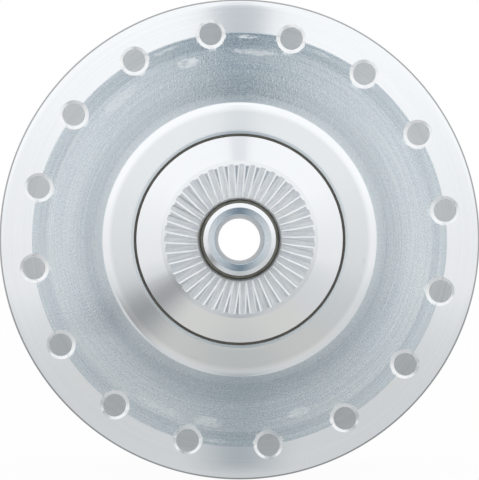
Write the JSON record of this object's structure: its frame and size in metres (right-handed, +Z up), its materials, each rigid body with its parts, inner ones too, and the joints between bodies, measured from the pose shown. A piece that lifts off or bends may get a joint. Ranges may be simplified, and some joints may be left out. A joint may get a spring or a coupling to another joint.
{
  "type": "hub dynamo",
  "caption": "Bicycle front hub with a generator inside: turned aluminium shell with two drilled spoke flanges, grooved clamp faces, hollow quick-release axle and flat plug terminals.",
  "frame": {"origin": "middle of the axle, which is the middle of the bounding box and half way between the clamp faces", "axes": "+Y along the axle from the plain left end to the right end with the terminals, +Z up, the way the terminal blades point"},
  "size_m": [0.0624, 0.109, 0.0624],
  "materials": {
    "shell_aluminium": "turned, matte on the turned face, bright on shoulder and ring",
    "cap_aluminium": "polished cone, plain grooved face",
    "axle_steel": "turned",
    "bearing_steel": "ground",
    "ball_steel": "polished",
    "spring_steel": "blackened",
    "stator_steel": "stamped, oiled",
    "magnet": "dull plated",
    "copper": "enamelled wire",
    "blade_brass": "stamped",
    "seal_rubber": "matte",
    "block_plastic": "moulded",
    "bobbin_plastic": "moulded",
    "cage_plastic": "moulded"
  },
  "bodies": {
    "axle": {"axle": "axle_steel", "left_end_cap": "cap_aluminium", "right_end_cap": "cap_aluminium", "left_axle_ring": "seal_rubber", "right_axle_ring": "seal_rubber", "left_bearing_inner_ring": "bearing_steel", "right_bearing_inner_ring": "bearing_steel", "stator_core": "stator_steel", "left_claw_plate": "stator_steel", "right_claw_plate": "stator_steel", "coil_bobbin": "bobbin_plastic", "coil_winding": "copper", "coil_leads": "copper", "left_stator_clip": "spring_steel", "right_stator_clip": "spring_steel", "terminal_block": "block_plastic", "terminal_blades": "blade_brass"},
    "hub": {"hub_shell": "shell_aluminium", "shell_cover": "shell_aluminium", "cover_o_ring": "seal_rubber", "rotor_yoke": "stator_steel", "rotor_magnets": "magnet", "left_bearing_outer_ring": "bearing_steel", "right_bearing_outer_ring": "bearing_steel", "left_bearing_shields": "seal_rubber", "right_bearing_shields": "seal_rubber", "left_lip_seal": "seal_rubber", "right_lip_seal": "seal_rubber"},
    "left_ball_set": {"left_balls": "ball_steel", "left_ball_cage": "cage_plastic"},
    "right_ball_set": {"right_balls": "ball_steel", "right_ball_cage": "cage_plastic"}
  },
  "joints": [
    {"name": "hub_spin", "type": "hinge", "parent": "axle", "child": "hub", "pos_m": [0, 0, 0], "axis": [0, 1, 0], "continuous": true},
    {"name": "left_ball_orbit", "type": "hinge", "parent": "axle", "child": "left_ball_set", "pos_m": [0, -0.041, 0], "axis": [0, 1, 0], "continuous": true},
    {"name": "right_ball_orbit", "type": "hinge", "parent": "axle", "child": "right_ball_set", "pos_m": [0, 0.0354, 0], "axis": [0, 1, 0], "continuous": true}
  ],
  "couplings": [
    {"joint": "left_ball_orbit", "follows": "hub_spin", "ratio": 0.619},
    {"joint": "right_ball_orbit", "follows": "hub_spin", "ratio": 0.619}
  ]
}
